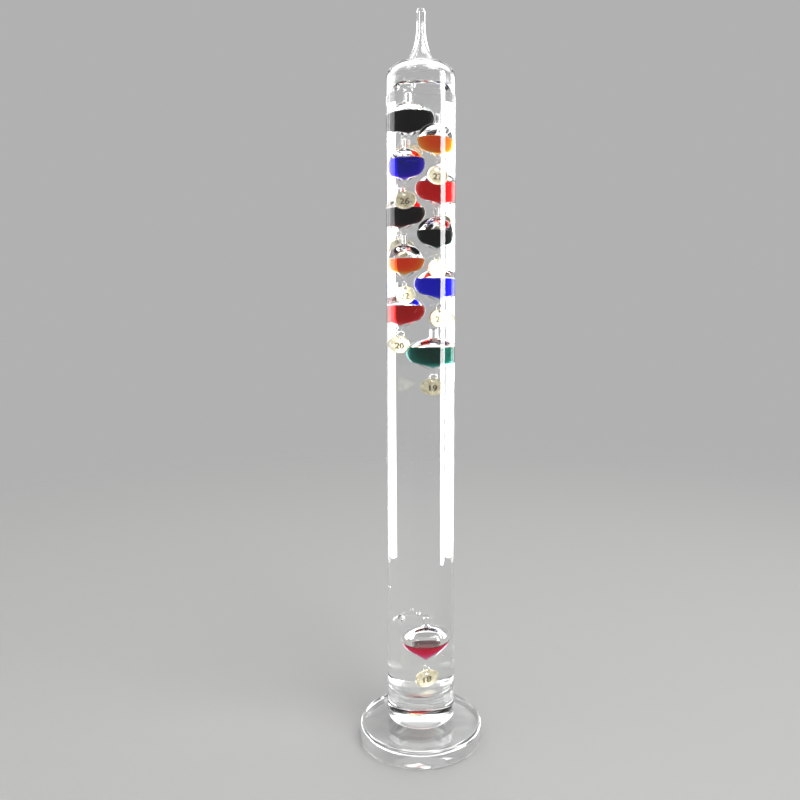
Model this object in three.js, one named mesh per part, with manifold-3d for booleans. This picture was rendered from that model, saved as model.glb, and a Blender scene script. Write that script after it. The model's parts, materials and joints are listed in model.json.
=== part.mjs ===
// Galileo thermometer: a sealed glass column of clear liquid on a round glass base, with eleven
// sealed glass floats inside, each holding a dyed liquid and carrying a numbered tag on a ring.
// Millimetres, +Z up, origin on the resting face under the column's axis.

import * as THREE from 'three';
import { mergeVertices } from 'three/addons/utils/BufferGeometryUtils.js';
import Module from 'manifold-3d';

const wasm = await Module();
wasm.setup();

// ---- driving dimensions ----

const GAP = 0.3; // left between pieces that touch or are fused on the real object

const BASE_RADIUS = 42;
const BASE_HEIGHT = 12;
const BASE_TOP_ROUND = 3;
const BASE_FOOT_ROUND = 1.2;
const DISH_DEPTH = 0.5; // how far the column's round foot sinks into the base

const COLUMN_RADIUS = 23;
const COLUMN_WALL = 2;
const COLUMN_FOOT_REACH = 18; // the foot curves in by this much over the rise below
const COLUMN_FOOT_RISE = 6.5;
const COLUMN_FLOOR = 36; // height of the inner floor, above a thick solid foot
const FLOOR_ROUND = 4;
const SHOULDER_HEIGHT = 445.5;
const SHOULDER_TOP = 457;
const TIP_RADIUS = 2.9;
const TIP_HEIGHT = 490.4;
const BORE_RADIUS = 0.8; // the drawn tip's bore, through which the column is filled
const TOTAL_HEIGHT = 492.5;

const LIQUID_LEVEL = 439;

const BULB_RADIUS = 10.4;
const BULB_WALL = 0.7;
const NECK_RADIUS = 1.9;
const NECK_BORE = 1.3;
const NECK_TOP = 17.4; // above the bulb's middle
const SEAL_HEIGHT = 0.9;
const TAIL_RADIUS = 1.1;
const EYE_RADIUS = 1.6; // of the glass eye's centre line
const EYE_WIRE = 0.45;

const RING_RADIUS = 2;
const RING_WIRE = 0.3;
const LINK_SLACK = 0.15; // between a ring and the eye or tag it hangs in
const TAG_RADIUS = 6;
const TAG_THICKNESS = 0.9;
const TAG_HOLE = 0.8;
const TAG_RIM = 0.85; // metal left between the hole and the tag's edge

const COLUMN_SIDES = 32;
const FLOAT_SIDES = 10;
const BEAD_SIDES = 8;

// Each float, from the top one down: the axis it rides on, the height of the bulb's middle, the
// level of its dye over that middle, how far its tail reaches below it, the way its tag faces
// (degrees from the front), and the dye's colour.
const FLOATS = [
  { x: -5.0, y: 5.0, z: 421.1, level: 3.6, tail: 12.2, turn: -18, dye: 0x1d1418 },
  { x: 8.4, y: -5.7, z: 405.7, level: 0.6, tail: 12.2, turn: 24, dye: 0xd9540f },
  { x: -8.2, y: -6.0, z: 390.0, level: 3.2, tail: 12.2, turn: -10, dye: 0x2a1bb8 },
  { x: 8.0, y: 6.3, z: 375.7, level: 4.0, tail: 12.2, turn: -24, dye: 0xb31215 },
  { x: -8.5, y: 5.6, z: 359.9, level: 2.6, tail: 12.2, turn: 8, dye: 0x2c1a16 },
  { x: 8.2, y: -6.0, z: 345.8, level: 1.2, tail: 12.2, turn: 42, dye: 0x10201c },
  { x: -8.4, y: -5.8, z: 328.3, level: 0.4, tail: 12.2, turn: 20, dye: 0xd4480c },
  { x: 7.6, y: 6.6, z: 313.0, level: 3.2, tail: 12.2, turn: 54, dye: 0x1d17b0 },
  { x: -8.5, y: 5.6, z: 295.3, level: 2.8, tail: 12.2, turn: -60, dye: 0xad1414 },
  { x: 4.8, y: 8.6, z: 266.6, level: 3.4, tail: 12.2, turn: -38, dye: 0x0e4740 },
  { x: 2.2, y: 2.4, z: 69.8, level: -3.0, tail: 15.8, turn: 42, dye: 0xc40f3c },
];

// ---- shapes ----

const ORIGIN = new THREE.Vector3();

// A closed turned shape from a path of (radius, height) that starts and ends on the axis.
function turned(path, sides, steps) {
  const geometry = new THREE.LatheGeometry(path.getPoints(steps), sides);
  geometry.rotateX(Math.PI / 2);
  return geometry;
}

function toSolid(geometry, place = ORIGIN) {
  const bare = geometry.clone();
  bare.translate(place.x, place.y, place.z);
  bare.deleteAttribute('normal');
  bare.deleteAttribute('uv');
  const merged = mergeVertices(bare, 1e-4);
  const vertProperties = new Float32Array(merged.attributes.position.array);
  const triVerts = new Uint32Array(merged.index.array);
  return new wasm.Manifold(new wasm.Mesh({ numProp: 3, vertProperties, triVerts }));
}

function toGeometry(solid) {
  const mesh = solid.getMesh();
  const geometry = new THREE.BufferGeometry();
  geometry.setAttribute('position', new THREE.BufferAttribute(mesh.vertProperties, 3));
  geometry.setIndex(new THREE.BufferAttribute(mesh.triVerts, 1));
  geometry.computeVertexNormals();
  return geometry;
}

// The column's round foot, from the axis up to where its wall runs straight, grown by a margin.
function footPath(path, margin) {
  const bottom = BASE_HEIGHT - DISH_DEPTH;
  path.moveTo(0, bottom - margin);
  path.lineTo(COLUMN_RADIUS - COLUMN_FOOT_REACH, bottom - margin);
  path.absellipse(COLUMN_RADIUS - COLUMN_FOOT_REACH, bottom + COLUMN_FOOT_RISE,
    COLUMN_FOOT_REACH + margin, COLUMN_FOOT_RISE + margin, -Math.PI / 2, 0, false, 0);
  return path;
}

function baseGeometry() {
  const side = new THREE.Path();
  side.moveTo(0, 0);
  side.lineTo(BASE_RADIUS - BASE_FOOT_ROUND, 0);
  side.absarc(BASE_RADIUS - BASE_FOOT_ROUND, BASE_FOOT_ROUND, BASE_FOOT_ROUND, -Math.PI / 2, 0, false);
  side.absarc(BASE_RADIUS - BASE_TOP_ROUND, BASE_HEIGHT - BASE_TOP_ROUND, BASE_TOP_ROUND,
    0, Math.PI / 2, false);
  side.lineTo(0, BASE_HEIGHT);
  const foot = footPath(new THREE.Path(), GAP);
  foot.lineTo(0, BASE_HEIGHT + COLUMN_FOOT_RISE);
  const disc = toSolid(turned(side, COLUMN_SIDES, 2));
  return toGeometry(disc.subtract(toSolid(turned(foot, COLUMN_SIDES, 4))));
}

function columnGeometry() {
  const inner = COLUMN_RADIUS - COLUMN_WALL;
  const wall = footPath(new THREE.Path(), 0);
  wall.lineTo(COLUMN_RADIUS, SHOULDER_HEIGHT);
  wall.bezierCurveTo(COLUMN_RADIUS, SHOULDER_TOP - 3, 17, SHOULDER_TOP - 1.5, 11, SHOULDER_TOP);
  wall.bezierCurveTo(7, SHOULDER_TOP + 3, 3.4, SHOULDER_TOP + 12, TIP_RADIUS, SHOULDER_TOP + 24);
  wall.lineTo(TIP_RADIUS, TIP_HEIGHT);
  wall.lineTo(BORE_RADIUS, TIP_HEIGHT);
  wall.lineTo(BORE_RADIUS, SHOULDER_TOP + 20);
  wall.bezierCurveTo(1.6, SHOULDER_TOP + 10, 5.2, SHOULDER_TOP + 1, 10, SHOULDER_TOP - 2);
  wall.bezierCurveTo(16, SHOULDER_TOP - 3.5, inner, SHOULDER_TOP - 5, inner, SHOULDER_HEIGHT);
  wall.lineTo(inner, COLUMN_FLOOR + FLOOR_ROUND);
  wall.absarc(inner - FLOOR_ROUND, COLUMN_FLOOR + FLOOR_ROUND, FLOOR_ROUND, 0, -Math.PI / 2, true);
  wall.lineTo(0, COLUMN_FLOOR);
  return turned(wall, COLUMN_SIDES, 3);
}

// A rounded bead of glass that closes a drawn bore, standing just clear of it.
function beadGeometry(radius, bottom, top) {
  const bead = new THREE.Path();
  bead.moveTo(0, bottom);
  bead.lineTo(radius, bottom);
  bead.bezierCurveTo(radius, bottom + (top - bottom) * 0.6, radius * 0.6, top, 0, top);
  return turned(bead, BEAD_SIDES, 2);
}

// A bulb's skin from the tail's foot to the neck, drawn in by a wall's thickness.
function bulbSkin(path, wall, tail) {
  const ball = BULB_RADIUS - wall;
  const neck = wall > 0 ? NECK_BORE : NECK_RADIUS;
  const low = 0.8 * ball;
  const tailTop = wall > 0 ? 0.91 * tail - wall : tail;
  const tailRadius = wall > 0 ? 0.3 : TAIL_RADIUS;
  path.moveTo(0, -tailTop);
  path.lineTo(tailRadius, -tailTop);
  path.quadraticCurveTo(tailRadius + 0.8, 0.8 - 0.93 * tailTop, low, -Math.sqrt(ball * ball - low * low));
  path.absarc(0, 0, ball, -Math.acos(low / ball), Math.acos(2.6 / ball), false);
  path.quadraticCurveTo(neck, ball * 1.02, neck, ball + 2.2);
  path.lineTo(neck, NECK_TOP);
  return path;
}

function bulbGeometry(tail) {
  const outer = bulbSkin(new THREE.Path(), 0, tail);
  outer.lineTo(0, NECK_TOP);
  const inner = bulbSkin(new THREE.Path(), BULB_WALL, tail);
  inner.lineTo(NECK_BORE, NECK_TOP + 1);
  inner.lineTo(0, NECK_TOP + 1);
  const eye = new THREE.TorusGeometry(EYE_RADIUS, EYE_WIRE, 5, 8);
  eye.rotateX(Math.PI / 2);
  const glass = toSolid(turned(outer, FLOAT_SIDES, 2));
  const fused = glass.add(toSolid(eye, new THREE.Vector3(0, 0, eyeHeight(tail))));
  return toGeometry(fused.subtract(toSolid(turned(inner, FLOAT_SIDES, 2))));
}

// The dye fills the bulb's hollow from its tail up to a flat level.
function dyeGeometry(tail, level) {
  const hollow = bulbSkin(new THREE.Path(), BULB_WALL + GAP, tail);
  hollow.lineTo(0, NECK_TOP);
  const cup = toSolid(turned(hollow, FLOAT_SIDES, 2));
  const above = new THREE.CylinderGeometry(2 * BULB_RADIUS, 2 * BULB_RADIUS, 2 * NECK_TOP, 6);
  above.rotateX(Math.PI / 2);
  return toGeometry(cup.subtract(toSolid(above, new THREE.Vector3(0, 0, level + NECK_TOP))));
}

// ---- heights under a bulb's middle, from its tail down ----

function eyeHeight(tail) {
  return -tail - EYE_RADIUS + 0.2;
}

function ringHeight(tail) {
  return eyeHeight(tail) - (EYE_RADIUS - EYE_WIRE) + RING_WIRE + LINK_SLACK - RING_RADIUS;
}

function tagHeight(tail) {
  const holeTop = ringHeight(tail) - RING_RADIUS + RING_WIRE + LINK_SLACK;
  return holeTop + TAG_RIM - TAG_RADIUS;
}

function ringGeometry() {
  const ring = new THREE.TorusGeometry(RING_RADIUS, RING_WIRE, 5, 10);
  ring.rotateY(Math.PI / 2);
  return ring;
}

function tagGeometry() {
  const face = new THREE.Shape();
  face.absarc(0, 0, TAG_RADIUS, 0, 2 * Math.PI, false);
  const hole = new THREE.Path();
  hole.absarc(0, TAG_RADIUS - TAG_RIM - TAG_HOLE, TAG_HOLE, 0, 2 * Math.PI, true);
  face.holes.push(hole);
  const tag = new THREE.ExtrudeGeometry(face, {
    depth: TAG_THICKNESS,
    curveSegments: 8,
    bevelEnabled: false,
  });
  tag.translate(0, 0, -TAG_THICKNESS / 2);
  tag.rotateX(Math.PI / 2);
  return tag;
}

// The room that a float and its hanging tag take up in the liquid.
function floatRoom(float) {
  const room = new THREE.Path();
  const margin = 1.2;
  const tagReach = TAG_RADIUS + margin;
  room.moveTo(0, tagHeight(float.tail) - tagReach);
  room.lineTo(tagReach, tagHeight(float.tail) - tagReach);
  room.lineTo(tagReach, -float.tail);
  room.absarc(0, 0, BULB_RADIUS + margin, -Math.PI / 4, Math.PI / 3, false);
  room.lineTo(NECK_RADIUS + margin, BULB_RADIUS + 2);
  room.lineTo(NECK_RADIUS + margin, NECK_TOP + SEAL_HEIGHT + GAP + margin);
  room.lineTo(0, NECK_TOP + SEAL_HEIGHT + GAP + margin);
  return toSolid(turned(room, FLOAT_SIDES, 3), float);
}

function liquidGeometry() {
  const radius = COLUMN_RADIUS - COLUMN_WALL - GAP;
  const bottom = COLUMN_FLOOR + GAP;
  const fill = new THREE.Path();
  fill.moveTo(0, bottom);
  fill.lineTo(radius - FLOOR_ROUND, bottom);
  fill.absarc(radius - FLOOR_ROUND, bottom + FLOOR_ROUND, FLOOR_ROUND, -Math.PI / 2, 0, false);
  fill.lineTo(radius, LIQUID_LEVEL);
  fill.lineTo(0, LIQUID_LEVEL);
  let liquid = toSolid(turned(fill, COLUMN_SIDES, 2));
  for (const float of FLOATS) {
    liquid = liquid.subtract(floatRoom(float));
  }
  return toGeometry(liquid);
}

// ---- materials ----

function clearGlass() {
  return new THREE.MeshStandardMaterial({ color: 0xf2f7f8, roughness: 0.03, metalness: 0 });
}

function clearLiquid() {
  return new THREE.MeshStandardMaterial({ color: 0xe9eff0, roughness: 0.02, metalness: 0 });
}

function dyedLiquid(colour) {
  return new THREE.MeshStandardMaterial({ color: colour, roughness: 0.05, metalness: 0 });
}

function paleBrass() {
  return new THREE.MeshStandardMaterial({ color: 0xd8cfa4, roughness: 0.32, metalness: 1 });
}

function steelWire() {
  return new THREE.MeshStandardMaterial({ color: 0xc9c6bd, roughness: 0.25, metalness: 1 });
}

// ---- assembly ----

const group = new THREE.Group();

function addPiece(parent, name, geometry, material) {
  const mesh = new THREE.Mesh(geometry, material);
  mesh.name = name;
  parent.add(mesh);
  return mesh;
}

function addFloat(float, number) {
  const name = `float_${String(number).padStart(2, '0')}`;
  const carrier = new THREE.Group();
  carrier.position.set(float.x, float.y, float.z);
  carrier.rotation.z = THREE.MathUtils.degToRad(float.turn);
  group.add(carrier);
  const sealFoot = NECK_TOP + GAP;
  const seal = beadGeometry(NECK_RADIUS, sealFoot, sealFoot + SEAL_HEIGHT);
  addPiece(carrier, `${name}_bulb`, bulbGeometry(float.tail), clearGlass());
  addPiece(carrier, `${name}_seal`, seal, clearGlass());
  addPiece(carrier, `${name}_dye`, dyeGeometry(float.tail, float.level), dyedLiquid(float.dye));
  const ring = addPiece(carrier, `${name}_ring`, ringGeometry(), steelWire());
  ring.position.z = ringHeight(float.tail);
  const tag = addPiece(carrier, `${name}_tag`, tagGeometry(), paleBrass());
  tag.position.z = tagHeight(float.tail);
}

addPiece(group, 'glass_base', baseGeometry(), clearGlass());
addPiece(group, 'glass_column', columnGeometry(), clearGlass());
addPiece(group, 'column_seal', beadGeometry(TIP_RADIUS, TIP_HEIGHT + GAP, TOTAL_HEIGHT), clearGlass());
addPiece(group, 'column_liquid', liquidGeometry(), clearLiquid());
FLOATS.forEach((float, index) => addFloat(float, index + 1));

export default group;
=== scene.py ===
"""Looks for a galileo thermometer: a sealed glass column of clear oil on a thick glass base, with
eleven sealed floats of dyed liquid inside, each carrying a stamped metal tag on a wire ring.
Shapes are given in millimetres as (radius, height) outlines and built in metres."""

import json
import math

import bmesh
import bpy
from mathutils import Matrix, Vector


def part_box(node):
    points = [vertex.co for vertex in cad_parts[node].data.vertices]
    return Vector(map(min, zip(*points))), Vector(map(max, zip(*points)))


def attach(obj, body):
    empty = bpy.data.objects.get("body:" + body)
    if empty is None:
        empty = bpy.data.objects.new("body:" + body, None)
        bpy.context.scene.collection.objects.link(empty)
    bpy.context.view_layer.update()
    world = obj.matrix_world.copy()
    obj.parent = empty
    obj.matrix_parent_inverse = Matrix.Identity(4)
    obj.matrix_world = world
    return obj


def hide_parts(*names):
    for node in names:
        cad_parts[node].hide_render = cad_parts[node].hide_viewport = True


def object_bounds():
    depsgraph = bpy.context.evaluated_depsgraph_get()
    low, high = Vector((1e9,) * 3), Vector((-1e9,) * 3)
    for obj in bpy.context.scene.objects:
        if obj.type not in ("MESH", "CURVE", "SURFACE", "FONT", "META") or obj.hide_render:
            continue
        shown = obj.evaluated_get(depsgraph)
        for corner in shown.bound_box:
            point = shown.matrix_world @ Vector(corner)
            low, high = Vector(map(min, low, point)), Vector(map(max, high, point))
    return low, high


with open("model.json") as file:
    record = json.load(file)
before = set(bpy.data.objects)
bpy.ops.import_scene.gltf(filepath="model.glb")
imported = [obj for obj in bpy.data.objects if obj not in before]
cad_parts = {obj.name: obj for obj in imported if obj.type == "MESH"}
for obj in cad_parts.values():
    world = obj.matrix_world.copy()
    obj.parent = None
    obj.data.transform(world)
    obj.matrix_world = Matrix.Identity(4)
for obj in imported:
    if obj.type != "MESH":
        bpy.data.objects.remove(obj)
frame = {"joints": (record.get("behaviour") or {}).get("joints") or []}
cad_low, cad_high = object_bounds()

MM = 0.001

# ---- sizes of the glasswork, mm ----

FUSED_GAP = 0.02  # kept between skins that are fused or wetted on the real object

BASE_FOOT_ROUND = 1.2
BASE_TOP_ROUND = 3.0
FOOT_REACH = 18.0
FOOT_RISE = 6.5
COLUMN_WALL = 2.0
COLUMN_FLOOR = 36.0
FLOOR_ROUND = 4.0
SHOULDER_HEIGHT = 445.5
SHOULDER_TOP = 457.0
TIP_RADIUS = 2.9
BORE_RADIUS = 0.8
MENISCUS = 1.3

BULB_RADIUS = 10.4
BULB_WALL = 0.7
NECK_RADIUS = 1.9
NECK_BORE = 1.3
NECK_TOP = 17.4
TAIL_RADIUS = 1.1
EYE_RADIUS = 1.6
EYE_WIRE = 0.45

RING_RADIUS = 2.0
RING_WIRE = 0.3
LINK_SLACK = 0.15
TAG_RADIUS = 6.0
TAG_HALF = 0.45
TAG_HOLE = 0.8
TAG_RIM = 0.85
TAG_HOLE_HEIGHT = 4.35

NUMERAL_SIZE = 5.4
NUMERAL_RISE = 0.05
NUMERAL_EDGE = 0.03
NUMERAL_WEIGHT = 0.06

COLUMN_SEGMENTS = 128
BULB_SEGMENTS = 64
BUBBLE_SEGMENTS = 24
TAG_SEGMENTS = 64

# air bubbles that cling inside the front of the column: across, along, height and radius
BUBBLES = [(-11.2, -11.0, 88.4, 2.3), (-5.2, -13.4, 95.6, 1.0), (-1.4, -12.8, 92.8, 1.4),
           (12.6, -9.6, 62.0, 0.7), (-13.0, 6.0, 104.0, 0.8)]

# dye slot, colour let through, strength per metre, and the degrees stamped on the tag
DYES = [
    ("dye_charcoal", (0.22, 0.08, 0.12), 900.0, 28),
    ("dye_orange", (1.0, 0.64, 0.02), 330.0, 27),
    ("dye_violet_blue", (0.28, 0.06, 0.90), 460.0, 26),
    ("dye_red", (0.96, 0.03, 0.02), 380.0, 25),
    ("dye_brown", (0.45, 0.17, 0.12), 700.0, 24),
    ("dye_black_green", (0.06, 0.30, 0.22), 800.0, 23),
    ("dye_amber", (1.0, 0.60, 0.01), 380.0, 22),
    ("dye_blue", (0.08, 0.03, 0.97), 480.0, 21),
    ("dye_crimson", (0.92, 0.03, 0.04), 380.0, 20),
    ("dye_teal", (0.02, 0.62, 0.57), 400.0, 19),
    ("dye_magenta", (0.98, 0.02, 0.42), 330.0, 18),
]


# ---- outlines ----

def arc(r, h, radius, start, end, steps):
    """Points on an arc round (r, h), from one angle to another in degrees."""
    points = []
    for step in range(steps + 1):
        angle = math.radians(start + (end - start) * step / steps)
        points.append((r + radius * math.cos(angle), h + radius * math.sin(angle)))
    return points


def sweep(corners, steps):
    """Points on a Bezier curve of three or four corners, without its first one."""
    points = []
    for step in range(1, steps + 1):
        left = [Vector(corner) for corner in corners]
        while len(left) > 1:
            left = [a.lerp(b, step / steps) for a, b in zip(left, left[1:])]
        points.append(tuple(left[0]))
    return points


def straight(start, end, steps):
    """Points on a straight run, without its first one."""
    return sweep([start, Vector(start).lerp(Vector(end), 0.5), end], steps)


def foot_curve(radius, bottom, margin, steps):
    """The column's round foot from its flat underside out to the straight wall."""
    points = []
    for step in range(steps + 1):
        angle = math.radians(-90 + 90 * step / steps)
        points.append((radius - FOOT_REACH + (FOOT_REACH + margin) * math.cos(angle),
                       bottom + FOOT_RISE + (FOOT_RISE + margin) * math.sin(angle)))
    return points


def base_outline(radius, height, column_radius, column_bottom):
    """The base: a thick disc with rounded edges, sunk in the middle to take the column's foot."""
    outline = [(0, 0), (radius / 2, 0)]
    outline += arc(radius - BASE_FOOT_ROUND, BASE_FOOT_ROUND, BASE_FOOT_ROUND, -90, 0, 8)
    outline += straight(outline[-1], (radius, height - BASE_TOP_ROUND), 6)[:-1]
    outline += arc(radius - BASE_TOP_ROUND, height - BASE_TOP_ROUND, BASE_TOP_ROUND, 0, 90, 14)
    dish = [point for point in foot_curve(column_radius, column_bottom, FUSED_GAP, 90)
            if point[1] < height]
    lip = (dish[-1][0] + 0.35, height)
    outline += straight(outline[-1], lip, 10)
    return outline + dish[::-1] + [(0, column_bottom - FUSED_GAP)]


def column_outline(radius, bottom, top):
    """The column, up its outside from the foot to the drawn tip and back down its bore."""
    inner = radius - COLUMN_WALL
    outline = [(0, bottom)] + foot_curve(radius, bottom, 0, 40)
    outline += straight(outline[-1], (radius, SHOULDER_HEIGHT), 24)
    outline += sweep([(radius, SHOULDER_HEIGHT), (radius, SHOULDER_TOP - 3),
                      (17, SHOULDER_TOP - 1.5), (11, SHOULDER_TOP)], 20)
    outline += sweep([(11, SHOULDER_TOP), (7, SHOULDER_TOP + 3), (3.4, SHOULDER_TOP + 12),
                      (TIP_RADIUS, SHOULDER_TOP + 24)], 24)
    outline += [(TIP_RADIUS, top), (BORE_RADIUS, top)]
    outline += straight(outline[-1], (BORE_RADIUS, SHOULDER_TOP + 20), 4)
    outline += sweep([(BORE_RADIUS, SHOULDER_TOP + 20), (1.6, SHOULDER_TOP + 10),
                      (5.2, SHOULDER_TOP + 1), (10, SHOULDER_TOP - 2)], 20)
    outline += sweep([(10, SHOULDER_TOP - 2), (16, SHOULDER_TOP - 3.5),
                      (inner, SHOULDER_TOP - 5), (inner, SHOULDER_HEIGHT)], 20)
    outline += straight(outline[-1], (inner, COLUMN_FLOOR + FLOOR_ROUND), 40)[:-1]
    outline += arc(inner - FLOOR_ROUND, COLUMN_FLOOR + FLOOR_ROUND, FLOOR_ROUND, 0, -90, 12)
    return outline + [(0, COLUMN_FLOOR)]


def oil_outline(radius, level):
    """The oil in the column, up to its level, where it climbs the wall a little."""
    radius -= FUSED_GAP
    floor = COLUMN_FLOOR + FUSED_GAP
    outline = [(0, floor)]
    outline += arc(radius - FLOOR_ROUND, floor + FLOOR_ROUND, FLOOR_ROUND, -90, 0, 12)
    outline += straight(outline[-1], (radius, level + MENISCUS), 40)
    for step in range(1, 13):
        inward = 6 * (step / 12) ** 1.6
        outline.append((radius - inward, level + MENISCUS * math.exp(-inward / 1.3)))
    return outline + [(0, level)]


def bulb_skin(wall, tail):
    """A float's skin from the foot of its tail up its neck, drawn in by a wall's thickness."""
    ball = BULB_RADIUS - wall
    low = 0.8 * ball
    neck = NECK_BORE if wall else NECK_RADIUS
    foot = 0.91 * tail - wall if wall else tail
    tip = 0.3 if wall else TAIL_RADIUS
    skin = [(0, -foot), (tip * 0.7, -foot + 0.05), (tip, -foot + 0.3)]
    skin += sweep([skin[-1], (tip + 0.8, 0.8 - 0.93 * foot),
                   (low, -math.sqrt(ball ** 2 - low ** 2))], 12)
    skin += arc(0, 0, ball, -math.degrees(math.acos(low / ball)),
                math.degrees(math.acos(2.6 / ball)), 44)[1:]
    skin += sweep([skin[-1], (neck, ball * 1.02), (neck, ball + 2.2)], 8)
    return skin


def bulb_outline(tail):
    """The outside of a float's glass, closed across the top of its neck."""
    return bulb_skin(0, tail) + [(NECK_RADIUS, NECK_TOP - 0.3), (NECK_RADIUS - 0.3, NECK_TOP),
                                 (0, NECK_TOP)]


def hollow_outline(tail):
    """The hollow of a float, running up into the neck and closing in a point."""
    top = NECK_TOP - 1.6
    return bulb_skin(BULB_WALL, tail) + [(NECK_BORE, top), (NECK_BORE * 0.7, top + 0.5), (0, top + 0.7)]


def dye_outline(tail, level):
    """The dye in a float, wetting the hollow up to its level and climbing the wall a little."""
    skin = [point for point in bulb_skin(BULB_WALL + FUSED_GAP, tail) if point[1] < level + 0.55]
    edge = skin[-1]
    surface = []
    for step in range(1, 9):
        inward = 3.2 * (step / 8) ** 1.5
        climb = (edge[1] - level) * math.exp(-inward / 0.8)
        surface.append((edge[0] - inward, level + climb))
    return skin + surface + [(0, level)]


def bead_outline(radius, bottom, top):
    """A rounded bead of glass that closes a drawn neck."""
    rise = top - bottom
    return [(0, bottom), (radius * 0.6, bottom), (radius, bottom)] + sweep(
        [(radius, bottom), (radius, bottom + 0.75 * rise), (radius * 0.62, top), (0, top)], 14)


# ---- geometry nodes ----

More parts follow.
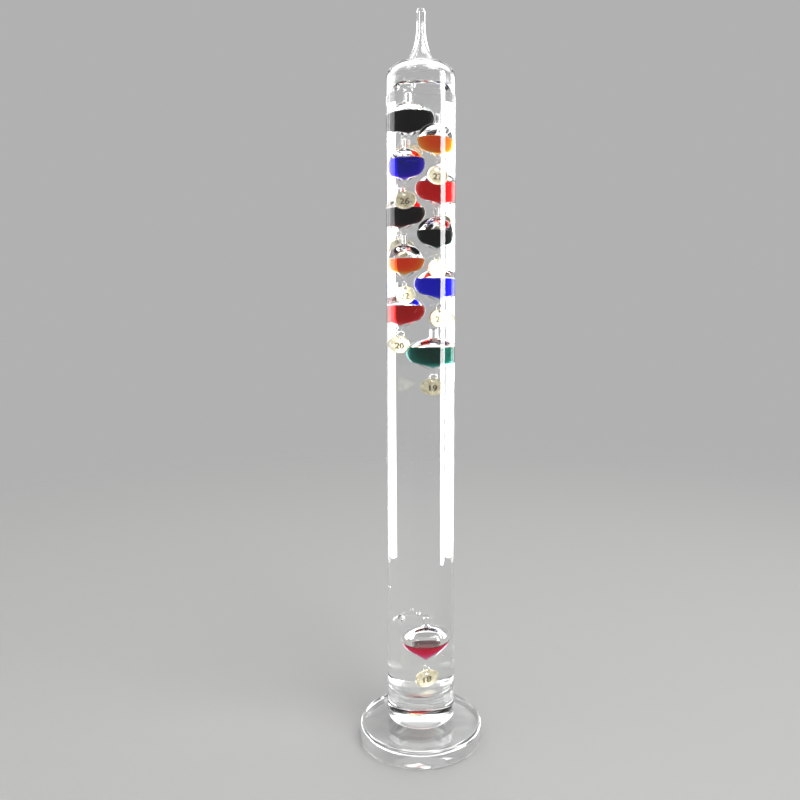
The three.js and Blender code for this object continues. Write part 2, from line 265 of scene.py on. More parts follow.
def turned_tree():
    """Geometry nodes that turn an outline round an upright axis into a closed skin."""
    tree = bpy.data.node_groups.new("Turned skin", "GeometryNodeTree")
    sockets = tree.interface
    sockets.new_socket("Outline", in_out="INPUT", socket_type="NodeSocketGeometry")
    sockets.new_socket("Segments", in_out="INPUT", socket_type="NodeSocketInt")
    sockets.new_socket("Centre", in_out="INPUT", socket_type="NodeSocketVector")
    sockets.new_socket("Turn", in_out="INPUT", socket_type="NodeSocketFloat")
    sockets.new_socket("Corner Angle", in_out="INPUT", socket_type="NodeSocketFloat")
    sockets.new_socket("Finish", in_out="INPUT", socket_type="NodeSocketMaterial")
    sockets.new_socket("Skin", in_out="OUTPUT", socket_type="NodeSocketGeometry")
    nodes, links = tree.nodes, tree.links

    given = nodes.new("NodeGroupInput")
    given.label = "Outline and sizes"
    count = nodes.new("GeometryNodeAttributeDomainSize")
    count.label = "Points along the outline"
    count.component = "MESH"
    around = nodes.new("ShaderNodeMath")
    around.label = "Columns of the sheet"
    around.operation = "ADD"
    around.inputs[1].default_value = 1.0
    sheet = nodes.new("GeometryNodeMeshGrid")
    sheet.label = "Sheet to be rolled up"
    order = nodes.new("GeometryNodeInputIndex")
    order.label = "Number of the point"
    share = nodes.new("ShaderNodeMath")
    share.label = "Rows passed"
    share.operation = "DIVIDE"
    row = nodes.new("ShaderNodeMath")
    row.label = "Row, along the outline"
    row.operation = "FLOOR"
    column = nodes.new("ShaderNodeMath")
    column.label = "Column, round the axis"
    column.operation = "MODULO"
    spot = nodes.new("GeometryNodeInputPosition")
    spot.label = "Place on the outline"
    lookup = nodes.new("GeometryNodeSampleIndex")
    lookup.label = "Outline point of this row"
    lookup.data_type = "FLOAT_VECTOR"
    parts = nodes.new("ShaderNodeSeparateXYZ")
    parts.label = "Radius and height"
    step = nodes.new("ShaderNodeMath")
    step.label = "Angle of one column"
    step.operation = "DIVIDE"
    step.inputs[0].default_value = math.tau
    angle = nodes.new("ShaderNodeMath")
    angle.label = "Angle round the axis"
    angle.operation = "MULTIPLY_ADD"
    across = nodes.new("ShaderNodeMath")
    across.label = "Cosine"
    across.operation = "COSINE"
    along = nodes.new("ShaderNodeMath")
    along.label = "Sine"
    along.operation = "SINE"
    x = nodes.new("ShaderNodeMath")
    x.label = "Across"
    x.operation = "MULTIPLY"
    y = nodes.new("ShaderNodeMath")
    y.label = "Along"
    y.operation = "MULTIPLY"
    rolled = nodes.new("ShaderNodeCombineXYZ")
    rolled.label = "Point on the skin"
    placed = nodes.new("ShaderNodeVectorMath")
    placed.label = "Moved to its axis"
    placed.operation = "ADD"
    roll = nodes.new("GeometryNodeSetPosition")
    roll.label = "Roll the sheet up"
    weld = nodes.new("GeometryNodeMergeByDistance")
    weld.label = "Close the seam and the poles"
    weld.inputs["Distance"].default_value = 1e-6
    smooth = nodes.new("GeometryNodeSetShadeSmooth")
    smooth.label = "Smooth faces"
    bend = nodes.new("GeometryNodeInputMeshEdgeAngle")
    bend.label = "Angle at each edge"
    sharp = nodes.new("FunctionNodeCompare")
    sharp.label = "Sharper than a rounded edge"
    crease = nodes.new("GeometryNodeSetShadeSmooth")
    crease.label = "Keep real corners"
    crease.domain = "EDGE"
    crease.inputs["Shade Smooth"].default_value = False
    real = nodes.new("GeometryNodeRealizeInstances")
    real.label = "Plain mesh"
    finish = nodes.new("GeometryNodeSetMaterial")
    finish.label = "Finish"
    made = nodes.new("NodeGroupOutput")
    made.label = "Closed skin"

    sheet_frame = nodes.new("NodeFrame")
    sheet_frame.label = "One row for each outline point"
    for node in (count, around, sheet, order, share, row, column):
        node.parent = sheet_frame
    roll_frame = nodes.new("NodeFrame")
    roll_frame.label = "Turn the outline round its axis"
    for node in (spot, lookup, parts, step, angle, across, along, x, y, rolled, placed, roll):
        node.parent = roll_frame
    close_frame = nodes.new("NodeFrame")
    close_frame.label = "Close, smooth and finish"
    for node in (weld, smooth, bend, sharp, crease, real, finish):
        node.parent = close_frame
    for place, node in enumerate((given, count, around, sheet, order, share, row, column, spot,
                                  lookup, parts, step, angle, across, along, x, y, rolled,
                                  placed, roll, weld, smooth, bend, sharp, crease, real,
                                  finish, made)):
        node.location = (190 * (place // 3), -190 * (place % 3))

    links.new(given.outputs["Outline"], count.inputs[0])
    links.new(given.outputs["Segments"], around.inputs[0])
    links.new(count.outputs["Point Count"], sheet.inputs["Vertices X"])
    links.new(around.outputs[0], sheet.inputs["Vertices Y"])
    links.new(order.outputs[0], share.inputs[0])
    links.new(around.outputs[0], share.inputs[1])
    links.new(share.outputs[0], row.inputs[0])
    links.new(order.outputs[0], column.inputs[0])
    links.new(around.outputs[0], column.inputs[1])
    links.new(given.outputs["Outline"], lookup.inputs["Geometry"])
    links.new(spot.outputs[0], lookup.inputs["Value"])
    links.new(row.outputs[0], lookup.inputs["Index"])
    links.new(lookup.outputs[0], parts.inputs[0])
    links.new(given.outputs["Segments"], step.inputs[1])
    links.new(column.outputs[0], angle.inputs[0])
    links.new(step.outputs[0], angle.inputs[1])
    links.new(given.outputs["Turn"], angle.inputs[2])
    links.new(angle.outputs[0], across.inputs[0])
    links.new(angle.outputs[0], along.inputs[0])
    links.new(parts.outputs["X"], x.inputs[0])
    links.new(across.outputs[0], x.inputs[1])
    links.new(parts.outputs["X"], y.inputs[0])
    links.new(along.outputs[0], y.inputs[1])
    links.new(x.outputs[0], rolled.inputs["X"])
    links.new(y.outputs[0], rolled.inputs["Y"])
    links.new(parts.outputs["Z"], rolled.inputs["Z"])
    links.new(rolled.outputs[0], placed.inputs[0])
    links.new(given.outputs["Centre"], placed.inputs[1])
    links.new(sheet.outputs["Mesh"], roll.inputs["Geometry"])
    links.new(placed.outputs[0], roll.inputs["Position"])
    links.new(roll.outputs[0], weld.inputs[0])
    links.new(weld.outputs[0], smooth.inputs["Geometry"])
    links.new(smooth.outputs[0], crease.inputs["Geometry"])
    links.new(bend.outputs["Unsigned Angle"], sharp.inputs[0])
    links.new(given.outputs["Corner Angle"], sharp.inputs[1])
    links.new(sharp.outputs[0], crease.inputs["Selection"])
    links.new(crease.outputs[0], real.inputs[0])
    links.new(real.outputs[0], finish.inputs["Geometry"])
    links.new(given.outputs["Finish"], finish.inputs["Material"])
    links.new(finish.outputs[0], made.inputs[0])
    return tree


def loop_tree():
    """Geometry nodes that bend a round wire or glass thread into a closed loop."""
    tree = bpy.data.node_groups.new("Closed loop", "GeometryNodeTree")
    sockets = tree.interface
    sockets.new_socket("Start", in_out="INPUT", socket_type="NodeSocketGeometry")
    sockets.new_socket("Loop Radius", in_out="INPUT", socket_type="NodeSocketFloat")
    sockets.new_socket("Wire Radius", in_out="INPUT", socket_type="NodeSocketFloat")
    sockets.new_socket("Centre", in_out="INPUT", socket_type="NodeSocketVector")
    sockets.new_socket("Facing", in_out="INPUT", socket_type="NodeSocketVector")
    sockets.new_socket("Finish", in_out="INPUT", socket_type="NodeSocketMaterial")
    sockets.new_socket("Loop", in_out="OUTPUT", socket_type="NodeSocketGeometry")
    nodes, links = tree.nodes, tree.links

    given = nodes.new("NodeGroupInput")
    given.label = "Sizes and place"
    path = nodes.new("GeometryNodeCurvePrimitiveCircle")
    path.label = "Path of the loop"
    path.inputs["Resolution"].default_value = 40
    section = nodes.new("GeometryNodeCurvePrimitiveCircle")
    section.label = "Round section of the wire"
    section.inputs["Resolution"].default_value = 14
    wire = nodes.new("GeometryNodeCurveToMesh")
    wire.label = "Wire bent round the path"
    facing = nodes.new("FunctionNodeEulerToRotation")
    facing.label = "Way the loop faces"
    placed = nodes.new("GeometryNodeTransform")
    placed.label = "Stand it upright in its place"
    smooth = nodes.new("GeometryNodeSetShadeSmooth")
    smooth.label = "Round wire"
    real = nodes.new("GeometryNodeRealizeInstances")
    real.label = "Plain mesh"
    finish = nodes.new("GeometryNodeSetMaterial")
    finish.label = "Finish"
    made = nodes.new("NodeGroupOutput")
    made.label = "Closed loop"

    bend_frame = nodes.new("NodeFrame")
    bend_frame.label = "Bend the wire"
    for node in (path, section, wire):
        node.parent = bend_frame
    place_frame = nodes.new("NodeFrame")
    place_frame.label = "Place and finish it"
    for node in (facing, placed, smooth, real, finish):
        node.parent = place_frame
    for place, node in enumerate((given, path, section, wire, facing, placed, smooth, real,
                                  finish, made)):
        node.location = (190 * place, -120 * (place % 2))

    links.new(given.outputs["Loop Radius"], path.inputs["Radius"])
    links.new(given.outputs["Wire Radius"], section.inputs["Radius"])
    links.new(path.outputs["Curve"], wire.inputs["Curve"])
    links.new(section.outputs["Curve"], wire.inputs["Profile Curve"])
    links.new(given.outputs["Facing"], facing.inputs[0])
    links.new(wire.outputs[0], placed.inputs["Geometry"])
    links.new(given.outputs["Centre"], placed.inputs["Translation"])
    links.new(facing.outputs[0], placed.inputs["Rotation"])
    links.new(placed.outputs[0], smooth.inputs["Geometry"])
    links.new(smooth.outputs[0], real.inputs[0])
    links.new(real.outputs[0], finish.inputs["Geometry"])
    links.new(given.outputs["Finish"], finish.inputs["Material"])
    links.new(finish.outputs[0], made.inputs[0])
    return tree


def grown(tree, outline, sizes):
    """The plain mesh that a tree makes from an outline, mm, and its named inputs."""
    start = bpy.data.meshes.new("outline")
    points = [(r * MM, 0, h * MM) for r, h in outline]
    start.from_pydata(points, [(i, i + 1) for i in range(len(points) - 1)], [])
    maker = bpy.data.objects.new("maker", start)
    bpy.context.scene.collection.objects.link(maker)
    growth = maker.modifiers.new(tree.name, "NODES")
    growth.node_group = tree
    for socket in tree.interface.items_tree:
        if socket.in_out == "INPUT" and socket.name in sizes:
            growth[socket.identifier] = sizes[socket.name]
    depsgraph = bpy.context.evaluated_depsgraph_get()
    shape = bpy.data.meshes.new_from_object(maker.evaluated_get(depsgraph),
                                            preserve_all_data_layers=True, depsgraph=depsgraph)
    maker.modifiers.clear()
    bpy.data.objects.remove(maker)
    return shape


def facing_out(shape, hollow=False):
    """Turns a closed shape's faces outwards, or inwards where it is the hollow of another."""
    body = bmesh.new()
    body.from_mesh(shape)
    if (body.calc_volume(signed=True) < 0) != hollow:
        bmesh.ops.reverse_faces(body, faces=body.faces)
    body.to_mesh(shape)
    body.free()
    return shape


def turned(outline, finish, centre=(0, 0, 0), turn=0.0, segments=COLUMN_SEGMENTS, hollow=False):
    """A closed turned shape; centre is in metres."""
    sizes = {"Segments": segments, "Centre": tuple(centre), "Turn": turn,
             "Corner Angle": math.radians(32), "Finish": finish}
    return facing_out(grown(TURNED, outline, sizes), hollow)


def loop(radius, wire, finish, centre, facing):
    """A closed loop of wire; sizes in mm, centre in metres, facing as XYZ angles."""
    sizes = {"Loop Radius": radius * MM, "Wire Radius": wire * MM, "Centre": tuple(centre),
             "Facing": facing, "Finish": finish}
    return facing_out(grown(LOOP, [(0, 0), (1, 0)], sizes))


def refinish(shape, finish, chosen):
    """Gives the faces whose middle passes a test another finish."""
    shape.materials.append(finish)
    for face in shape.polygons:
        if chosen(face.center):
            face.material_index = len(shape.materials) - 1


def piece(name, shapes, body, nodes):
    """One named piece of the object from closed shapes, riding on a body for its CAD nodes."""
    whole = bmesh.new()
    finishes = []
    for shape in shapes:
        first = len(whole.faces)
        whole.from_mesh(shape)
        whole.faces.ensure_lookup_table()
        for face in whole.faces[first:]:
            finish = shape.materials[face.material_index]
            if finish not in finishes:
                finishes.append(finish)
            face.material_index = finishes.index(finish)
    mesh = bpy.data.meshes.new(name)
    whole.to_mesh(mesh)
    whole.free()
    for finish in finishes:
        mesh.materials.append(finish)
    made = bpy.data.objects.new(name, mesh)
    bpy.context.scene.collection.objects.link(made)
    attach(made, body)
    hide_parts(*nodes)
    return made


TURNED = turned_tree()
LOOP = loop_tree()


# ---- tags ----

def tag_shape(finish, place):
    """A stamped disc with a raised rim and an eccentric hole, from rings of points in mm."""
    face = TAG_HALF - 0.13
    outer = [(5.42, face), (5.5, face + 0.03), (5.58, TAG_HALF - 0.02), (5.7, TAG_HALF),
             (5.84, TAG_HALF - 0.02), (5.94, TAG_HALF - 0.1), (TAG_RADIUS, TAG_HALF - 0.22)]
    inner = [(TAG_HOLE, 0.12), (TAG_HOLE + 0.03, face - 0.08), (TAG_HOLE + 0.12, face)]
    rings = [(radius, TAG_HOLE_HEIGHT, -depth) for radius, depth in inner]
    for share in (0.12, 0.3, 0.5, 0.7, 0.86):
        rings.append((inner[-1][0] + (outer[0][0] - inner[-1][0]) * share,
                      TAG_HOLE_HEIGHT * (1 - share), -face))
    rings += [(radius, 0, -depth) for radius, depth in outer]
    rings += [(radius, height, -depth) for radius, height, depth in reversed(rings)]
    points = []
    for radius, height, depth in rings:
        for step in range(TAG_SEGMENTS):
            angle = math.tau * step / TAG_SEGMENTS
            points.append((radius * math.cos(angle) * MM, depth * MM,
                           (height + radius * math.sin(angle)) * MM))
    faces = []
    for ring in range(len(rings)):
        after = (ring + 1) % len(rings)
        for step in range(TAG_SEGMENTS):
            beside = (step + 1) % TAG_SEGMENTS
            faces.append((ring * TAG_SEGMENTS + step, ring * TAG_SEGMENTS + beside,
                          after * TAG_SEGMENTS + beside, after * TAG_SEGMENTS + step))
    shape = bpy.data.meshes.new("tag")
    shape.from_pydata(points, [], faces)
    shape.materials.append(finish)
    for polygon in shape.polygons:
        polygon.use_smooth = True
    shape.transform(place)
    return facing_out(shape)


def numeral_shapes(text, finish, place):
    """Raised numerals on both faces of a tag."""
    shapes = []
    for side in (0, math.pi):
        curve = bpy.data.curves.new("numeral", "FONT")
        curve.body = text
        curve.size = NUMERAL_SIZE * MM
        curve.extrude = NUMERAL_RISE * MM
        curve.bevel_depth = NUMERAL_EDGE * MM
        curve.offset = NUMERAL_WEIGHT * MM
        curve.align_x = "CENTER"
        curve.align_y = "CENTER"
        letters = bpy.data.objects.new("numeral", curve)
        bpy.context.scene.collection.objects.link(letters)
        depsgraph = bpy.context.evaluated_depsgraph_get()
        shape = bpy.data.meshes.new_from_object(letters.evaluated_get(depsgraph))
        bpy.data.objects.remove(letters)
        shape.materials.clear()
        shape.materials.append(finish)
        upright = Matrix.Rotation(side, 4, "Z") @ Matrix.Translation(
            (0, -(TAG_HALF - 0.1) * MM, -1.0 * MM)) @ Matrix.Rotation(math.pi / 2, 4, "X")
        shape.transform(place @ upright)
        body = bmesh.new()
        body.from_mesh(shape)
        bmesh.ops.remove_doubles(body, verts=body.verts, dist=1e-7)
        bmesh.ops.recalc_face_normals(body, faces=body.faces)
        body.to_mesh(shape)
        body.free()
        shapes.append(shape)
    return shapes


# ---- finishes ----

def clear_skin(name, index, tint, lines, ripple, smear):
    """Clear glass or the still surface of oil: faint lines along the draw, slow ripples where it
    was worked in the flame, and a thin smear that dulls the polish here and there."""
    finish = bpy.data.materials.new(name)
    finish.use_nodes = True
    nodes, links = finish.node_tree.nodes, finish.node_tree.links
    nodes.clear()

    place = nodes.new("ShaderNodeTexCoord")
    place.label = "Place on the piece"
    place.location = (-1300, 0)
    stretch = nodes.new("ShaderNodeMapping")
    stretch.label = "Draw lines run upwards"
    stretch.location = (-1080, 180)
    stretch.inputs["Scale"].default_value = (330.0, 330.0, 3.0)
    drawn = nodes.new("ShaderNodeTexNoise")
    drawn.label = "Draw lines in the wall"
    drawn.location = (-860, 180)
    drawn.inputs["Scale"].default_value = 1.0
    drawn.inputs["Detail"].default_value = 3.0
    slow = nodes.new("ShaderNodeTexNoise")
    slow.label = "Slow ripples of flame work"
    slow.location = (-860, -80)
    slow.inputs["Scale"].default_value = 60.0
    slow.inputs["Detail"].default_value = 1.0
    line_bump = nodes.new("ShaderNodeBump")
    line_bump.label = "Height of the draw lines"
    line_bump.location = (-560, 180)
    line_bump.inputs["Strength"].default_value = lines
    line_bump.inputs["Distance"].default_value = 0.0002
    ripple_bump = nodes.new("ShaderNodeBump")
    ripple_bump.label = "Height of the ripples"
    ripple_bump.location = (-360, 60)
    ripple_bump.inputs["Strength"].default_value = ripple
    ripple_bump.inputs["Distance"].default_value = 0.002
    smudge = nodes.new("ShaderNodeTexNoise")
    smudge.label = "Where hands have dulled it"
    smudge.location = (-860, -320)
    smudge.inputs["Scale"].default_value = 34.0
    smudge.inputs["Detail"].default_value = 5.0
    polish = nodes.new("ShaderNodeMapRange")
    polish.label = "Polish, from bright to smeared"
    polish.location = (-560, -320)
    polish.inputs["From Min"].default_value = 0.5
    polish.inputs["From Max"].default_value = 0.8
    polish.inputs["To Min"].default_value = 0.0
    polish.inputs["To Max"].default_value = smear
    glass = nodes.new("ShaderNodeBsdfPrincipled")
    glass.label = "Clear body"
    glass.location = (-80, 0)
    glass.inputs["Base Color"].default_value = (*tint, 1.0)
    glass.inputs["Transmission Weight"].default_value = 1.0
    glass.inputs["IOR"].default_value = index
    result = nodes.new("ShaderNodeOutputMaterial")
    result.label = "Finish"
    result.location = (260, 0)

    relief = nodes.new("NodeFrame")
    relief.label = "Relief of the drawn glass"
    for node in (stretch, drawn, slow, line_bump, ripple_bump):
        node.parent = relief
    handled = nodes.new("NodeFrame")
    handled.label = "Handling marks"
    for node in (smudge, polish):
        node.parent = handled

    links.new(place.outputs["Object"], stretch.inputs["Vector"])
    links.new(stretch.outputs["Vector"], drawn.inputs["Vector"])
    links.new(place.outputs["Object"], slow.inputs["Vector"])
    links.new(drawn.outputs["Fac"], line_bump.inputs["Height"])
    links.new(slow.outputs["Fac"], ripple_bump.inputs["Height"])
    links.new(line_bump.outputs["Normal"], ripple_bump.inputs["Normal"])
    links.new(place.outputs["Object"], smudge.inputs["Vector"])
    links.new(smudge.outputs["Fac"], polish.inputs["Value"])
    links.new(polish.outputs["Result"], glass.inputs["Roughness"])
    links.new(ripple_bump.outputs["Normal"], glass.inputs["Normal"])
    links.new(glass.outputs["BSDF"], result.inputs["Surface"])
    return finish


def dyed_liquid(name, index, colour, strength):
    """Dyed liquid: it colours light by the length of its way through, with faint clouding where
    the dye has settled."""
    finish = bpy.data.materials.new(name)
    finish.use_nodes = True
    nodes, links = finish.node_tree.nodes, finish.node_tree.links
    nodes.clear()

    place = nodes.new("ShaderNodeTexCoord")
    place.label = "Place in the float"
    place.location = (-900, 0)
    cloud = nodes.new("ShaderNodeTexNoise")
    cloud.label = "Clouds of settled dye"
    cloud.location = (-700, 0)
    cloud.inputs["Scale"].default_value = 220.0
    cloud.inputs["Detail"].default_value = 2.0
    shade = nodes.new("ShaderNodeValToRGB")
    shade.label = "Thin and settled colour"
    shade.location = (-480, 0)
    pale = tuple(0.55 + 0.45 * c for c in colour)
    deep = tuple(0.35 + 0.62 * c for c in colour)
    shade.color_ramp.elements[0].position = 0.3
    shade.color_ramp.elements[0].color = (*deep, 1.0)
    shade.color_ramp.elements[1].position = 0.7
    shade.color_ramp.elements[1].color = (*pale, 1.0)
    liquid = nodes.new("ShaderNodeBsdfPrincipled")
    liquid.label = "Dyed liquid"
    liquid.location = (-160, 60)
    liquid.inputs["Transmission Weight"].default_value = 1.0
    liquid.inputs["IOR"].default_value = index
    liquid.inputs["Roughness"].default_value = 0.0
    depth = nodes.new("ShaderNodeVolumeAbsorption")
    depth.label = "Colour gained with depth"
    depth.location = (-160, -320)
    depth.inputs["Color"].default_value = (*colour, 1.0)
    depth.inputs["Density"].default_value = strength
    result = nodes.new("ShaderNodeOutputMaterial")
    result.label = "Finish"
    result.location = (180, 0)

    settled = nodes.new("NodeFrame")
    settled.label = "Dye settled on the glass"
    for node in (cloud, shade):
        node.parent = settled

    links.new(place.outputs["Object"], cloud.inputs["Vector"])
    links.new(cloud.outputs["Fac"], shade.inputs["Fac"])
    links.new(shade.outputs["Color"], liquid.inputs["Base Color"])
    links.new(liquid.outputs["BSDF"], result.inputs["Surface"])
    links.new(depth.outputs["Volume"], result.inputs["Volume"])
    return finish


def worked_metal(name, bright, dull, polish, grain_scale, grain_height):
    """Plated metal: brushed or drawn one way, with tarnish in soft patches."""
    finish = bpy.data.materials.new(name)
    finish.use_nodes = True
    nodes, links = finish.node_tree.nodes, finish.node_tree.links
    nodes.clear()

    place = nodes.new("ShaderNodeTexCoord")
    place.label = "Place on the piece"
    place.location = (-1100, 0)
    stretch = nodes.new("ShaderNodeMapping")
    stretch.label = "Brushed upwards"
    stretch.location = (-900, 160)
    stretch.inputs["Scale"].default_value = grain_scale
    grain = nodes.new("ShaderNodeTexNoise")
    grain.label = "Brush marks"
    grain.location = (-700, 160)
    grain.inputs["Scale"].default_value = 1.0
    grain.inputs["Detail"].default_value = 4.0
    relief = nodes.new("ShaderNodeBump")
    relief.label = "Depth of the brush marks"
    relief.location = (-360, 200)
    relief.inputs["Strength"].default_value = grain_height
    relief.inputs["Distance"].default_value = 0.00005
    patch = nodes.new("ShaderNodeTexNoise")
    patch.label = "Patches of tarnish"
    patch.location = (-700, -120)
    patch.inputs["Scale"].default_value = 420.0
    patch.inputs["Detail"].default_value = 3.0
    shade = nodes.new("ShaderNodeValToRGB")
    shade.label = "Plating, tarnished to bright"
    shade.location = (-440, -60)
    shade.color_ramp.elements[0].position = 0.34
    shade.color_ramp.elements[0].color = (*dull, 1.0)
    shade.color_ramp.elements[1].position = 0.62
    shade.color_ramp.elements[1].color = (*bright, 1.0)
    sheen = nodes.new("ShaderNodeMapRange")
    sheen.label = "Polish, from bright to tarnished"
    sheen.location = (-440, -320)
    sheen.inputs["From Min"].default_value = 0.3
    sheen.inputs["From Max"].default_value = 0.7
    sheen.inputs["To Min"].default_value = polish + 0.14
    sheen.inputs["To Max"].default_value = polish
    metal = nodes.new("ShaderNodeBsdfPrincipled")
    metal.label = "Plated metal"
    metal.location = (-100, 0)
    metal.inputs["Metallic"].default_value = 1.0
    result = nodes.new("ShaderNodeOutputMaterial")
    result.label = "Finish"
    result.location = (220, 0)

    brushed = nodes.new("NodeFrame")
    brushed.label = "Brushing"
    for node in (stretch, grain, relief):
        node.parent = brushed
    tarnish = nodes.new("NodeFrame")
    tarnish.label = "Tarnish"
    for node in (patch, shade, sheen):
        node.parent = tarnish

    links.new(place.outputs["Object"], stretch.inputs["Vector"])
    links.new(stretch.outputs["Vector"], grain.inputs["Vector"])
    links.new(grain.outputs["Fac"], relief.inputs["Height"])
    links.new(place.outputs["Object"], patch.inputs["Vector"])
    links.new(patch.outputs["Fac"], shade.inputs["Fac"])
    links.new(patch.outputs["Fac"], sheen.inputs["Value"])
    links.new(shade.outputs["Color"], metal.inputs["Base Color"])
    links.new(sheen.outputs["Result"], metal.inputs["Roughness"])
    links.new(relief.outputs["Normal"], metal.inputs["Normal"])
    links.new(metal.outputs["BSDF"], result.inputs["Surface"])
    return finish


PALE = (0.985, 0.995, 0.99)
CLEAR = (1.0, 1.0, 1.0)
base_glass = clear_skin("base_glass", 1.5, PALE, 0.0, 0.12, 0.03)
column_glass = clear_skin("column_glass", 1.47, PALE, 0.05, 0.02, 0.02)
fused_glass = clear_skin("fused_glass", 1.0, CLEAR, 0.0, 0.0, 0.0)
floor_glass = clear_skin("floor_glass", 1.22, CLEAR, 0.0, 0.05, 0.0)
oil_surface = clear_skin("oil_surface", 1.46, CLEAR, 0.0, 0.02, 0.0)
bulb_glass = clear_skin("bulb_glass", 1.06, PALE, 0.0, 0.03, 0.0)
hollow_glass = clear_skin("hollow_glass", 1.5, CLEAR, 0.0, 0.03, 0.0)
tag_plate = worked_metal("tag_plate", (0.92, 0.86, 0.66), (0.62, 0.55, 0.34), 0.26,
                         (900.0, 900.0, 90.0), 0.5)
numeral_ink = worked_metal("stamped_numeral", (0.20, 0.16, 0.10), (0.10, 0.08, 0.05), 0.42,
                           (900.0, 900.0, 90.0), 0.5)
ring_steel = worked_metal("ring_steel", (0.95, 0.94, 0.91), (0.7, 0.69, 0.66), 0.14,
                          (1500.0, 1500.0, 1500.0), 0.3)

# ---- base and column ----

base_low, base_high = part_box("glass_base")
column_low, column_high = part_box("glass_column")
seal_low, seal_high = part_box("column_seal")
oil_low, oil_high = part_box("column_liquid")
base_radius, base_height = base_high.x / MM, base_high.z / MM
column_radius, column_bottom, column_top = column_high.x / MM, column_low.z / MM, column_high.z / MM
oil_level = oil_high.z / MM
bore = column_radius - COLUMN_WALL

base = turned(base_outline(base_radius, base_height, column_radius, column_bottom), base_glass)
piece("base_disc", [base], "root", ["glass_base"])

column = turned(column_outline(column_radius, column_bottom, column_top), column_glass)
refinish(column, fused_glass, lambda p: (
    (math.hypot(p.x, p.y) < (bore + 0.5) * MM
     and (COLUMN_FLOOR - 0.1) * MM < p.z < (oil_level + MENISCUS) * MM)
    or p.z > (column_top - 0.01) * MM))
refinish(column, floor_glass, lambda p: (
    math.hypot(p.x, p.y) < (bore + 0.05) * MM
    and (COLUMN_FLOOR - 0.1) * MM < p.z < (COLUMN_FLOOR + FLOOR_ROUND) * MM))
piece("column_tube", [column], "root", ["glass_column"])

tip = turned(bead_outline(TIP_RADIUS, column_top + FUSED_GAP, seal_high.z / MM), column_glass)
refinish(tip, fused_glass, lambda p: p.z < (column_top + FUSED_GAP + 0.01) * MM)
piece("tip_bead", [tip], "root", ["column_seal"])

oil = turned(oil_outline(bore, oil_level), fused_glass)
refinish(oil, oil_surface, lambda p: p.z > (oil_level - 0.01) * MM
         and math.hypot(p.x, p.y) < (bore - 2 * FUSED_GAP) * MM)
bubbles = []
for x, y, z, size in BUBBLES:
    outline = [(0, -size)] + arc(0, 0, size, -85, 85, 16) + [(0, size)]
    bubbles.append(turned(outline, oil_surface, Vector((x, y, z)) * MM, 0, BUBBLE_SEGMENTS,
                          hollow=True))
piece("oil_fill", [oil] + bubbles, "root", ["column_liquid"])

# ---- floats ----

hinges = {joint["name"]: joint for joint in frame["joints"] if joint["type"] == "hinge"}

for number, (slot, colour, strength, degrees) in enumerate(DYES, start=1):
    label = f"float_{number:02d}"
    hinge = hinges[f"tag_{number:02d}_swing"]
    turn = math.atan2(-hinge["axis"][0], hinge["axis"][1])
    pivot = Vector(hinge["pos_m"])
    middle = Vector((pivot.x, pivot.y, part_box(f"{label}_bulb")[1].z - NECK_TOP * MM))
    level = (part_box(f"{label}_dye")[1].z - middle.z) / MM
    eye = pivot + Vector((0, 0, (EYE_RADIUS - EYE_WIRE - RING_WIRE - LINK_SLACK) * MM))
    tail = (middle.z - eye.z) / MM - EYE_RADIUS + 0.2
    ring = pivot - Vector((0, 0, RING_RADIUS * MM))
    tag = ring - Vector((0, 0, (RING_RADIUS - RING_WIRE - LINK_SLACK - TAG_RIM + TAG_RADIUS) * MM))

    outside = turned(bulb_outline(tail), bulb_glass, middle, turn, BULB_SEGMENTS)
    refinish(outside, hollow_glass, lambda p: p.z > oil_high.z)
    hollow = turned(hollow_outline(tail), hollow_glass, middle, turn, BULB_SEGMENTS, hollow=True)
    wetted = middle.z + (level + 0.45) * MM
    refinish(hollow, fused_glass, lambda p: p.z < wetted)
    thread = loop(EYE_RADIUS, EYE_WIRE, bulb_glass, eye, (math.pi / 2, 0, turn))
    piece(f"{label}_glass", [outside, hollow, thread], label, [f"{label}_bulb"])

    seal_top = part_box(f"{label}_seal")[1].z - middle.z
    bead_finish = hollow_glass if middle.z + seal_top > oil_high.z else bulb_glass
    bead = turned(bead_outline(NECK_RADIUS, NECK_TOP + FUSED_GAP, seal_top / MM), bead_finish,
                  middle, turn, BULB_SEGMENTS)
    piece(f"{label}_neck_bead", [bead], label, [f"{label}_seal"])

    side = dyed_liquid(f"{slot}_side", 1.0, colour, strength)
    top = dyed_liquid(f"{slot}_top", 1.36, colour, strength)
    fill = turned(dye_outline(tail, level), side, middle, turn, BULB_SEGMENTS)
    brim = math.sqrt((BULB_RADIUS - BULB_WALL) ** 2 - (level + 0.5) ** 2) - 0.12
    refinish(fill, top, lambda p: p.z > middle.z + (level - 0.02) * MM
             and math.hypot(p.x - middle.x, p.y - middle.y) < brim * MM)
    piece(f"{label}_dye_fill", [fill], label, [f"{label}_dye"])

    link = loop(RING_RADIUS, RING_WIRE, ring_steel, ring, (math.pi / 2, 0, turn + math.pi / 2))
    piece(f"{label}_wire_ring", [link], f"tag_{number:02d}", [f"{label}_ring"])

    stand = Matrix.Translation(tag) @ Matrix.Rotation(turn, 4, "Z")
    disc = [tag_shape(tag_plate, stand)] + numeral_shapes(str(degrees), numeral_ink, stand)
    piece(f"{label}_number_tag", disc, f"tag_{number:02d}", [f"{label}_tag"])


# ---- stage, light and camera ----

FLOOR_RADIUS = 1.6
FLOOR_DROP = 0.0002  # keeps the floor clear of the base's foot
SCREEN_MIDDLE = 0.31

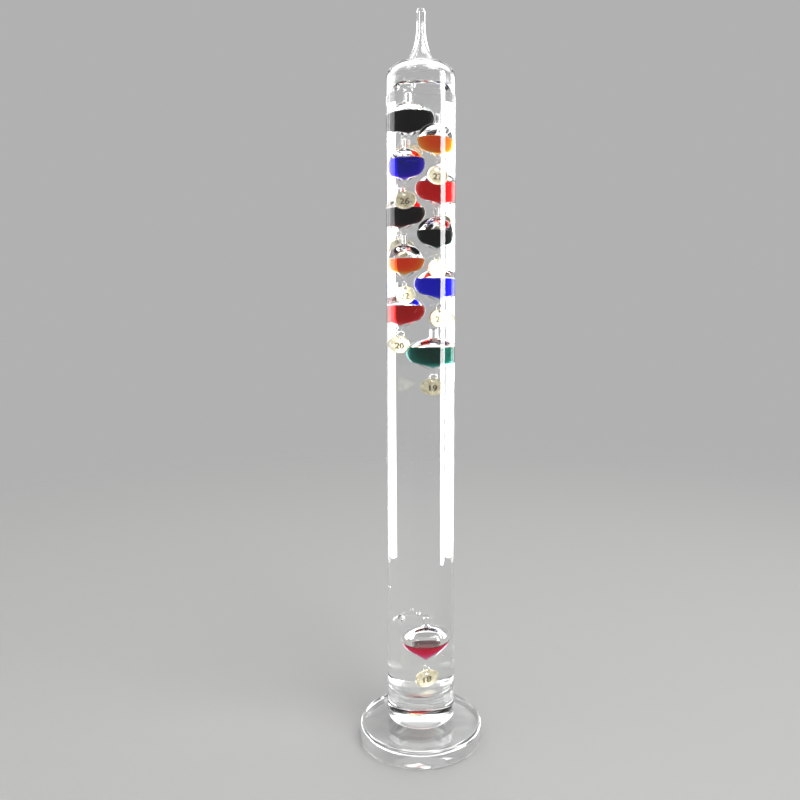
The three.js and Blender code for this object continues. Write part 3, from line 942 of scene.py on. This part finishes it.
# light screens: place, the point each faces, width, height, watts, and whether it lights the floor
SCREENS = {
    "right_screen": ((0.34, -0.085, SCREEN_MIDDLE), (0, 0, SCREEN_MIDDLE), 0.12, 0.6, 4.0, False),
    "left_screen": ((-0.75, 0.30, 0.6), (0, 0, 0.4), 0.5, 0.9, 4.0, False),
    "top_screen": ((0.45, -0.4, 1.2), (0, 0, 0.1), 0.6, 0.6, 9.0, True),
    "back_left_screen": ((-0.24, 0.24, SCREEN_MIDDLE), (0, 0, SCREEN_MIDDLE), 0.18, 0.6, 0.66, False),
    "back_right_screen": ((0.24, 0.24, SCREEN_MIDDLE), (0, 0, SCREEN_MIDDLE), 0.18, 0.6, 0.66, False),
}

def pale_floor():
    """A matt pale floor that fades out softly into the studio's background."""
    finish = bpy.data.materials.new("pale_floor")
    finish.use_nodes = True
    nodes, links = finish.node_tree.nodes, finish.node_tree.links
    nodes.clear()
    place = nodes.new("ShaderNodeTexCoord")
    place.label = "Place on the floor"
    place.location = (-900, 0)
    reach = nodes.new("ShaderNodeVectorMath")
    reach.label = "Distance from the object"
    reach.location = (-700, 0)
    reach.operation = "LENGTH"
    fade = nodes.new("ShaderNodeMapRange")
    fade.label = "Fade with distance"
    fade.location = (-500, 0)
    fade.interpolation_type = "SMOOTHSTEP"
    fade.inputs["From Min"].default_value = 0.5
    fade.inputs["From Max"].default_value = 1.5
    matt = nodes.new("ShaderNodeBsdfDiffuse")
    matt.label = "Matt pale board"
    matt.location = (-500, -240)
    matt.inputs["Color"].default_value = (0.35, 0.35, 0.345, 1.0)
    gone = nodes.new("ShaderNodeBsdfTransparent")
    gone.label = "Studio beyond"
    gone.location = (-500, -400)
    mixed = nodes.new("ShaderNodeMixShader")
    mixed.label = "Board into studio"
    mixed.location = (-240, 0)
    result = nodes.new("ShaderNodeOutputMaterial")
    result.label = "Finish"
    result.location = (0, 0)
    links.new(place.outputs["Object"], reach.inputs[0])
    links.new(reach.outputs["Value"], fade.inputs["Value"])
    links.new(fade.outputs["Result"], mixed.inputs["Fac"])
    links.new(matt.outputs["BSDF"], mixed.inputs[1])
    links.new(gone.outputs["BSDF"], mixed.inputs[2])
    links.new(mixed.outputs["Shader"], result.inputs["Surface"])
    return finish


def studio_world():
    """A soft grey studio with a bright ceiling."""
    world = bpy.data.worlds.new("studio")
    world.use_nodes = True
    nodes, links = world.node_tree.nodes, world.node_tree.links
    nodes.clear()
    place = nodes.new("ShaderNodeTexCoord")
    place.label = "Direction"
    place.location = (-700, 0)
    parts = nodes.new("ShaderNodeSeparateXYZ")
    parts.label = "Across, along and up"
    parts.location = (-500, 0)
    ceiling = nodes.new("ShaderNodeMapRange")
    ceiling.label = "Grey walls to bright ceiling"
    ceiling.location = (-300, 0)
    ceiling.interpolation_type = "SMOOTHSTEP"
    ceiling.inputs["From Min"].default_value = 0.45
    ceiling.inputs["From Max"].default_value = 0.62
    ceiling.inputs["To Min"].default_value = 0.55
    ceiling.inputs["To Max"].default_value = 1.8
    back = nodes.new("ShaderNodeBackground")
    back.label = "Studio light"
    back.location = (-80, 0)
    result = nodes.new("ShaderNodeOutputWorld")
    result.label = "Studio"
    result.location = (120, 0)
    links.new(place.outputs["Generated"], parts.inputs[0])
    links.new(parts.outputs["Z"], ceiling.inputs["Value"])
    links.new(ceiling.outputs["Result"], back.inputs["Strength"])
    links.new(back.outputs["Background"], result.inputs["Surface"])
    return world


def screen(name, place, target, width, height, power, on_floor):
    """A soft light screen facing a point, with its light kept off the matt floor or not."""
    lamp = bpy.data.lights.new(name, "AREA")
    lamp.shape = "RECTANGLE"
    lamp.size = width
    lamp.size_y = height
    lamp.energy = power
    held = bpy.data.objects.new(name, lamp)
    held.location = place
    held.rotation_euler = (Vector(target) - Vector(place)).to_track_quat("-Z", "Y").to_euler()
    held.visible_camera = False
    held.visible_diffuse = on_floor
    bpy.context.scene.collection.objects.link(held)
    return held


board_mesh = bpy.data.meshes.new("floor_board")
board = bmesh.new()
bmesh.ops.create_circle(board, cap_ends=True, segments=128, radius=FLOOR_RADIUS)
bmesh.ops.translate(board, verts=board.verts, vec=(0, 0, cad_low.z - FLOOR_DROP))
board.to_mesh(board_mesh)
board.free()
board_mesh.materials.append(pale_floor())
floor_board = bpy.data.objects.new("floor_board", board_mesh)
bpy.context.scene.collection.objects.link(floor_board)

bpy.context.scene.world = studio_world()
for name, settings in SCREENS.items():
    screen(name, *settings)

scene = bpy.context.scene
scene.view_settings.view_transform = "Standard"
scene.cycles.max_bounces = 40
scene.cycles.transmission_bounces = 40
scene.cycles.glossy_bounces = 12
scene.cycles.diffuse_bounces = 4
scene.cycles.transparent_max_bounces = 16

view = bpy.data.cameras.new("view")
view.lens = 32.6
view.shift_x = -0.026
view.shift_y = -0.044
viewer = bpy.data.objects.new("view", view)
viewer.location = (0, -0.489, 0.291)
viewer.rotation_euler = (math.radians(90 - 3.8), 0, 0)
scene.collection.objects.link(viewer)
scene.camera = viewer
